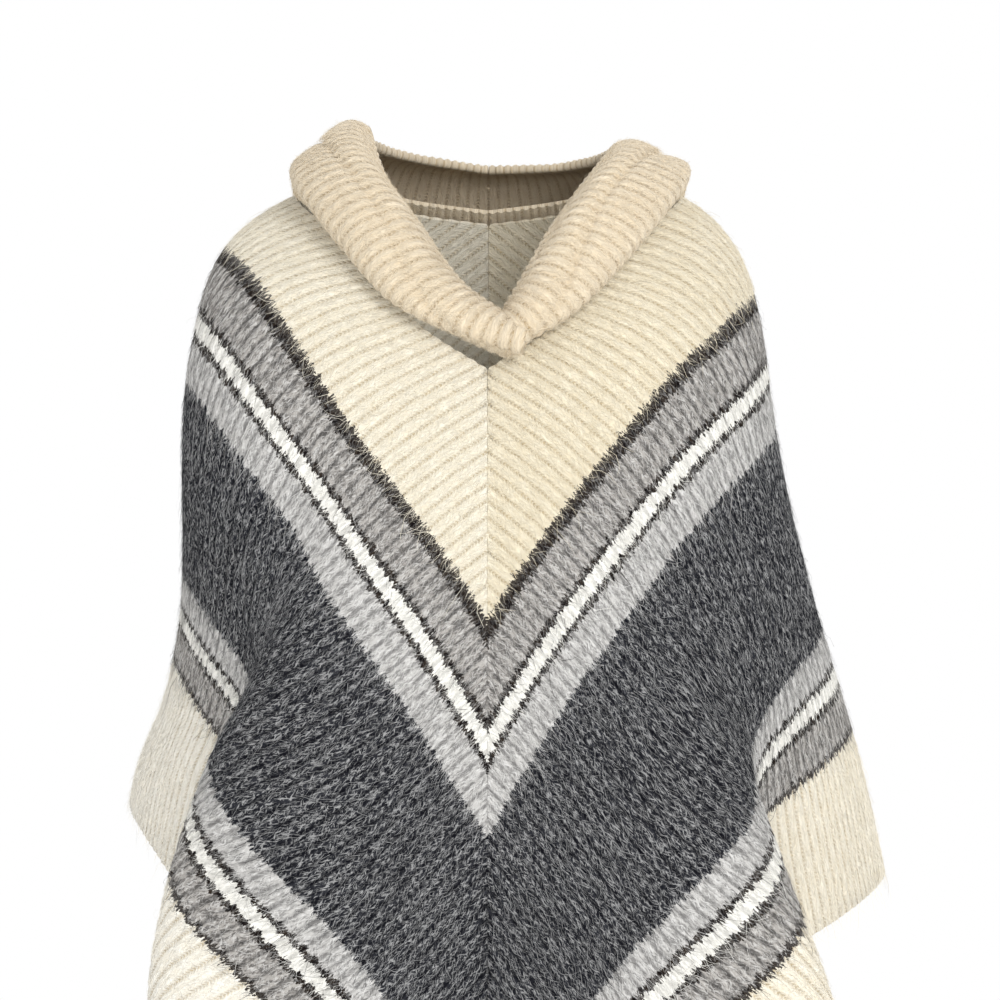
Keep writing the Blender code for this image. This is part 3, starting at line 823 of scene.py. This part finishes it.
def knit_group():
    """Masks of the rib knit, from its flat places: groove, stitch and tuft."""

    def build(tree, inputs):
        cut = inputs["Cut"]
        split = tree.node("ShaderNodeSeparateXYZ")
        tree.put(split.inputs[0], cut)
        u, v = split.outputs[0], split.outputs[1]
        wander = tree.noise(tree.scaled(cut, 60, 25), 1.0, 2.0)
        u = tree.math("ADD", u, tree.math("MULTIPLY", tree.math("SUBTRACT", wander, 0.5), 0.0022))
        away = tree.math("DIVIDE", tree.math("PINGPONG", u, RIB_CM / 200), RIB_CM / 200)
        groove = tree.span(away, 0.50, 0.95)
        climb = tree.math("ADD", tree.math("DIVIDE", v, 0.0034), tree.math("MULTIPLY", away, 1.7))
        stitch = tree.span(tree.math("PINGPONG", climb, 0.5), 0.05, 0.45)
        tuft = tree.noise(tree.scaled(cut, 230, 110), 1.0, 4.0, 0.6)
        return {"Groove": groove, "Stitch": stitch, "Tuft": tuft, "Away": away}

    return grouped(
        "rib knit",
        [("Cut", "NodeSocketVector")],
        [(k, "NodeSocketFloat") for k in ("Groove", "Stitch", "Tuft", "Away")],
        build,
    )


def hair_group():
    """Fine brushed hairs that lean both ways off the wale, and gaps between them."""

    def build(tree, inputs):
        cut = inputs["Cut"]
        curl = tree.node("ShaderNodeTexNoise")
        tree.put(curl.inputs["Vector"], tree.scaled(cut, 130, 130))
        tree.put(curl.inputs["Scale"], 1.0)
        tree.put(curl.inputs["Detail"], 2.0)
        pull = tree.node("ShaderNodeVectorMath", operation="SUBTRACT")
        tree.put(pull.inputs[0], curl.outputs["Color"])
        pull.inputs[1].default_value = (0.5, 0.5, 0.5)
        warped = tree.node("ShaderNodeVectorMath", operation="ADD")
        tree.put(warped.inputs[0], cut)
        tree.put(warped.inputs[1], tree.scaled(pull.outputs[0], 0.0028, 0.0028, 0.0))
        hair = None
        for angle, across, along, least in HAIRS:
            turned = tree.node("ShaderNodeVectorRotate", rotation_type="Z_AXIS")
            tree.put(turned.inputs["Vector"], warped.outputs[0])
            tree.put(turned.inputs["Angle"], angle)
            level = tree.noise(tree.scaled(turned.outputs[0], across, along), 1.0, 2.0, 0.6)
            lines = tree.span(level, least, least + 0.11)
            hair = lines if hair is None else tree.math("MAXIMUM", hair, lines)
        gap = tree.noise(tree.scaled(warped.outputs[0], 480, 85), 1.0, 3.0, 0.65)
        gap = tree.span(gap, 0.42, 0.60)
        return {"Hair": hair, "Gap": gap}

    return grouped(
        "brushed hairs",
        [("Cut", "NodeSocketVector")],
        [("Hair", "NodeSocketFloat"), ("Gap", "NodeSocketFloat")],
        build,
    )


def stripe_group():
    """The dye at each place along a wale, with the lowest cream painted lighter for the light on
    it. Fibres carry it past each stripe's edge.
    """

    def build(tree, inputs):
        cut, away = inputs["Cut"], inputs["Away"]
        split = tree.node("ShaderNodeSeparateXYZ")
        tree.put(split.inputs[0], cut)
        v = split.outputs[1]
        carried = tree.noise(tree.scaled(cut, 620, 160), 1.0, 2.0, 0.7)
        carried = tree.math("MULTIPLY", tree.math("SUBTRACT", carried, 0.5), 0.019)
        ragged = tree.noise(tree.scaled(cut, 170, 60), 1.0, 2.0, 0.5)
        ragged = tree.math("MULTIPLY", tree.math("SUBTRACT", ragged, 0.5), 0.005)
        scallop = tree.math("MULTIPLY", tree.math("SUBTRACT", away, 0.5), 0.0016)
        v = tree.math("ADD", tree.math("ADD", tree.math("ADD", v, ragged), scallop), carried)
        ramp = tree.node("ShaderNodeValToRGB")
        ramp.color_ramp.interpolation = "CONSTANT"
        stops = ramp.color_ramp.elements
        starts = [0.0] + [end / RAMP_CM for end, dye in STRIPES[:-1]]
        while len(stops) > 1:
            stops.remove(stops[-1])
        for k, (start, (end, dye)) in enumerate(zip(starts, STRIPES)):
            stop = stops[0] if k == 0 else stops.new(start)
            stop.position = start
            stop.color = linear(DYES[dye])
        tree.put(ramp.inputs[0], tree.math("DIVIDE", v, RAMP_CM / 100))
        light = tree.node("ShaderNodeRGBToBW")
        tree.put(light.inputs[0], ramp.outputs[0])
        # umber's pale hairs show less than those of the other dyes
        pale = tree.span(light.outputs[0], 0.0245, 0.0275, 0.4, 1.0)
        below = tree.math("GREATER_THAN", v, NAPPED_CM[0] / 100)
        above = tree.math("LESS_THAN", v, NAPPED_CM[1] / 100)
        napped = tree.math("MULTIPLY", below, above)
        return {
            "Colour": ramp.outputs[0], "Light": light.outputs[0], "Pale": pale, "Napped": napped,
        }

    return grouped(
        "stripes",
        [("Cut", "NodeSocketVector"), ("Away", "NodeSocketFloat")],
        [("Colour", "NodeSocketColor")]
        + [(k, "NodeSocketFloat") for k in ("Light", "Pale", "Napped")],
        build,
    )


def used(tree, group, **values):
    """A group's outputs, with the values given as its inputs."""
    made = tree.node("ShaderNodeGroup")
    made.node_tree = group
    for label, value in values.items():
        tree.put(made.inputs[label], value)
    return made.outputs


def material(name):
    """A new material, its tree and its one shader."""
    made = bpy.data.materials.new(name)
    made.use_nodes = True
    made.node_tree.nodes.clear()
    tree = Tree(made.node_tree)
    shader = tree.node("ShaderNodeBsdfPrincipled")
    out = tree.node("ShaderNodeOutputMaterial")
    made.node_tree.links.new(shader.outputs[0], out.inputs[0])
    return made, tree, shader


def flat_place(tree, slice_at):
    """The flat place, on a slice of the noises that is each material's own."""
    moved = tree.node("ShaderNodeVectorMath", operation="ADD")
    tree.put(moved.inputs[0], tree.node("ShaderNodeUVMap", uv_map="cut").outputs[0])
    moved.inputs[1].default_value = (0.0, 0.0, slice_at)
    return moved.outputs[0]


def dyed_and_shade_tinted(tree, groups, cut, away, tint, plain):
    """The dyed colour with a panel's tint, which paints shade on the right one, and how far the
    cloth is brushed, its hairs show and it is light.
    """
    if plain is None:
        made = used(tree, groups["stripes"], Cut=cut, Away=away)
        colour, napped, lift, light = (made[k] for k in ("Colour", "Napped", "Pale", "Light"))
    else:
        colour, napped, lift, light = linear(plain), 0.0, 1.0, 0.8
    # the tint covers the plain parts only; on the right panel it is painted shade
    colour = tree.mix(tree.math("SUBTRACT", 1.0, napped), colour, linear(tint), "MULTIPLY")
    return colour, napped, lift, light


def knit_material(name, groups, slice_at, tint, plain=None):
    """Rib knit, in the stripes' dyes or in one plain colour."""
    made, tree, shader = material(name)
    cut = flat_place(tree, slice_at)
    masks, hairs = used(tree, groups["knit"], Cut=cut), used(tree, groups["hairs"], Cut=cut)
    colour, napped, lift, light = dyed_and_shade_tinted(tree, groups, cut, masks["Away"], tint, plain)
    # a plain rib's groove is painted a darker tan as shade, broken up by its stitches, and a
    # brushed one holds broken painted shade
    stitched = tree.span(masks["Stitch"], 0.2, 0.8, 0.35, 1.0)
    stitched = tree.math("MULTIPLY", masks["Groove"], stitched)
    stitched = tree.math("MULTIPLY", stitched, tree.span(masks["Tuft"], 0.25, 0.65, 1.0, 0.45))
    tan = tree.mix(1.0, colour, (0.62, 0.53, 0.38, 1.0), "MULTIPLY")
    plain_rib = tree.mix(stitched, colour, tan)
    # painted shade: the gaps between the hairs are darkened a little
    plain_rib = tree.mix(
        tree.math("MULTIPLY", hairs["Gap"], 0.35), plain_rib,
        tree.mix(1.0, plain_rib, (0.86, 0.80, 0.70, 1.0), "MULTIPLY"),
    )
    broken = tree.math("MULTIPLY", masks["Groove"], tree.span(masks["Tuft"], 0.44, 0.68, 1.0, 0.0))
    deep = tree.mix(tree.span(light, 0.3, 0.85, 0.86, 0.36), colour, SHADE)
    shaded = tree.mix(tree.math("MULTIPLY", hairs["Gap"], 0.8), colour, deep)
    shaded = tree.mix(tree.math("MULTIPLY", broken, 0.9), shaded, deep)
    pale = tree.mix(0.40, colour, HAIR_PALE)
    fine = tree.math("MULTIPLY", hairs["Hair"], tree.span(masks["Groove"], 0.0, 1.0, 0.85, 0.3))
    fine = tree.math("MULTIPLY", fine, lift)
    brushed = tree.mix(fine, shaded, pale)
    colour = tree.mix(napped, plain_rib, brushed)
    tree.put(shader.inputs["Base Color"], colour)
    tree.put(shader.inputs["Roughness"], 0.95)
    tree.put(shader.inputs["Sheen Weight"], tree.span(napped, 0.0, 1.0, 0.25, 0.0))
    tree.put(shader.inputs["Sheen Roughness"], 0.6)
    tree.put(shader.inputs["Specular IOR Level"], 0.04)
    height = tree.math("MULTIPLY", masks["Stitch"], tree.math("MULTIPLY", masks["Groove"], 0.5))
    height = tree.math("ADD", height, tree.math("MULTIPLY", hairs["Hair"], 0.35))
    height = tree.math("SUBTRACT", height, tree.math("MULTIPLY", hairs["Gap"], 0.35))
    height = tree.math("ADD", height, tree.math("MULTIPLY", masks["Tuft"], 0.8))
    bump = tree.node("ShaderNodeBump")
    tree.put(bump.inputs["Height"], height)
    tree.put(bump.inputs["Strength"], tree.span(napped, 0.0, 1.0, 0.8, 0.4))
    tree.put(bump.inputs["Distance"], 0.0018)
    tree.put(shader.inputs["Normal"], bump.outputs[0])
    return made


def fibre_material(name, groups, slice_at, tint, plain=None):
    """Brushed fibres, each in the dye at its root, some darker and some paler."""
    made, tree, shader = material(name)
    grade = tree.node("ShaderNodeRGBToBW")
    tree.put(grade.inputs[0], tree.node("ShaderNodeVertexColor", layer_name="tone").outputs[0])
    tone = grade.outputs[0]
    cut = flat_place(tree, slice_at)
    colour, napped, lift, light = dyed_and_shade_tinted(tree, groups, cut, 0.5, tint, plain)
    pale = tree.mix(0.40, colour, HAIR_PALE)
    deep = tree.mix(tree.span(light, 0.3, 0.85, 0.75, 0.15), colour, SHADE)
    varied = tree.mix(tree.span(tone, 0.25, 0.5), deep, colour)
    varied = tree.mix(tree.math("MULTIPLY", tree.span(tone, 0.6, 0.72), lift), varied, pale)
    colour = tree.mix(tree.math("MULTIPLY", napped, 0.95), colour, varied)
    tree.put(shader.inputs["Base Color"], colour)
    tree.put(shader.inputs["Roughness"], 0.8)
    tree.put(shader.inputs["Sheen Weight"], tree.span(napped, 0.0, 1.0, 0.2, 0.0))
    tree.put(shader.inputs["Specular IOR Level"], 0.06)
    return made


def studio():
    """Camera as in the photo, a pale floor, a white sky and soft light."""
    scene = bpy.context.scene
    lens = bpy.data.cameras.new("camera")
    # at this distance the picture shows 0.78125 m, as the photo does
    sensor, distance, shown = 36.0, 2.75, 0.78125
    lens.sensor_width, lens.lens = sensor, sensor * distance / shown
    camera = bpy.data.objects.new("camera", lens)
    camera.location = (0.0094, -distance, -0.234)
    camera.rotation_euler = (math.pi / 2, 0, 0)
    scene.collection.objects.link(camera)
    scene.camera = camera
    mesh = bpy.data.meshes.new("floor")
    corners = [(-3.5, -3.5, -1.3), (3.5, -3.5, -1.3), (3.5, 2.5, -1.3), (-3.5, 2.5, -1.3)]
    mesh.from_pydata(corners, [], [(0, 1, 2, 3)])
    floor = bpy.data.objects.new("floor", mesh)
    scene.collection.objects.link(floor)
    pale, tree, shader = material("pale floor")
    tree.put(shader.inputs["Base Color"], (0.93, 0.93, 0.93, 1))
    tree.put(shader.inputs["Roughness"], 0.9)
    mesh.materials.append(pale)
    world = bpy.data.worlds.new("studio")
    scene.world = world
    world.use_nodes = True
    # the sky behind the poncho is white, and lights it a little less brightly
    sky = Tree(world.node_tree)
    back = world.node_tree.nodes["Background"]
    seen = sky.node("ShaderNodeLightPath").outputs["Is Camera Ray"]
    back.inputs["Color"].default_value = (1, 1, 1, 1)
    sky.put(back.inputs["Strength"], sky.span(seen, 0.0, 1.0, 0.70, 1.0, False))
    for name, place, target, size, power in (
        ("key", (1.0, -2.6, 0.8), (0, 0, -0.55), 1.3, 53),
        ("fill", (-2.0, -2.0, -0.6), (0, 0, -0.5), 2.0, 18),
        ("behind", (0.8, 2.4, 1.2), (0, 0, -0.4), 1.6, 30),
    ):
        light = bpy.data.lights.new(name, "AREA")
        light.size, light.energy = size, power
        lamp = bpy.data.objects.new(name, light)
        lamp.location = place
        way = Vector(target) - Vector(place)
        lamp.rotation_euler = way.to_track_quat("-Z", "Y").to_euler()
        scene.collection.objects.link(lamp)
    # a narrow light through the opening, so the hood's inside isn't black
    spot = bpy.data.lights.new("into the hood", "SPOT")
    spot.energy, spot.spot_size, spot.spot_blend = 55, math.radians(3.6), 1.0
    spot.shadow_soft_size = 0.1
    lamp = bpy.data.objects.new("into the hood", spot)
    lamp.location = (0, -2.6, 0.16)
    lamp.rotation_euler = Vector((0, 2.7, -0.12)).to_track_quat("-Z", "Y").to_euler()
    scene.collection.objects.link(lamp)
    scene.view_settings.view_transform = "Standard"


def main():
    """Make both sides, hide the solids they take the place of, and attach them to the root body."""
    studio()
    groups = {"knit": knit_group(), "hairs": hair_group(), "stripes": stripe_group()}
    # painted shade: the right panel's plain parts are tinted a little warmer and darker than the
    # left's
    white, right_shade_tint = (255, 255, 255), (250, 247, 240)
    hood_cream, nap_cream = (228, 213, 187), (233, 220, 196)
    wool = {
        "left": knit_material("brushed rib knit left", groups, SLICES["left"], white),
        "right": knit_material("brushed rib knit right", groups, SLICES["right"], right_shade_tint),
        "hood": knit_material("cream rib knit", groups, SLICES["hood"], white, hood_cream),
    }
    nap = {
        "left": fibre_material("brushed fibres left", groups, SLICES["left"], white),
        "right": fibre_material("brushed fibres right", groups, SLICES["right"], right_shade_tint),
        "hood": fibre_material("cream fibres", groups, SLICES["hood"], white, nap_cream),
    }
    thin = 1
    for side, label in ((-1, "left"), (1, "right")):
        cloth, hood = Cloth(side), Hood(side)
        body = panel("panel_" + label + "_knit", cloth, wool[label])
        cowl = hood_half("hood_" + label + "_knit", hood, wool["hood"])
        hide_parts("panel_" + label)
        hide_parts("hood_" + label)
        naps = [
            panel_nap(
                "panel_%s_nap_%d" % (label, k + 1), cloth, nap[label],
                count // thin, 31 + k + 7 * side, long,
            )
            for k, (count, long) in enumerate(FIBRES)
        ]
        if side < 0:
            naps += [
                panel_seam("centre_front_seam", cloth, 1.0, wool[label]),
                panel_seam("centre_back_seam", cloth, -1.0, wool[label]),
            ]
        down = [hood_nap("hood_%s_nap" % label, hood, nap["hood"], HOOD_FIBRES // thin, 77 + side)]
        if side < 0:
            down.append(hood_seam("hood_back_seam", hood, wool["hood"]))
        for obj in [body] + naps:
            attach(obj, "root")
        for obj in [cowl] + down:
            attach(obj, "root")


main()
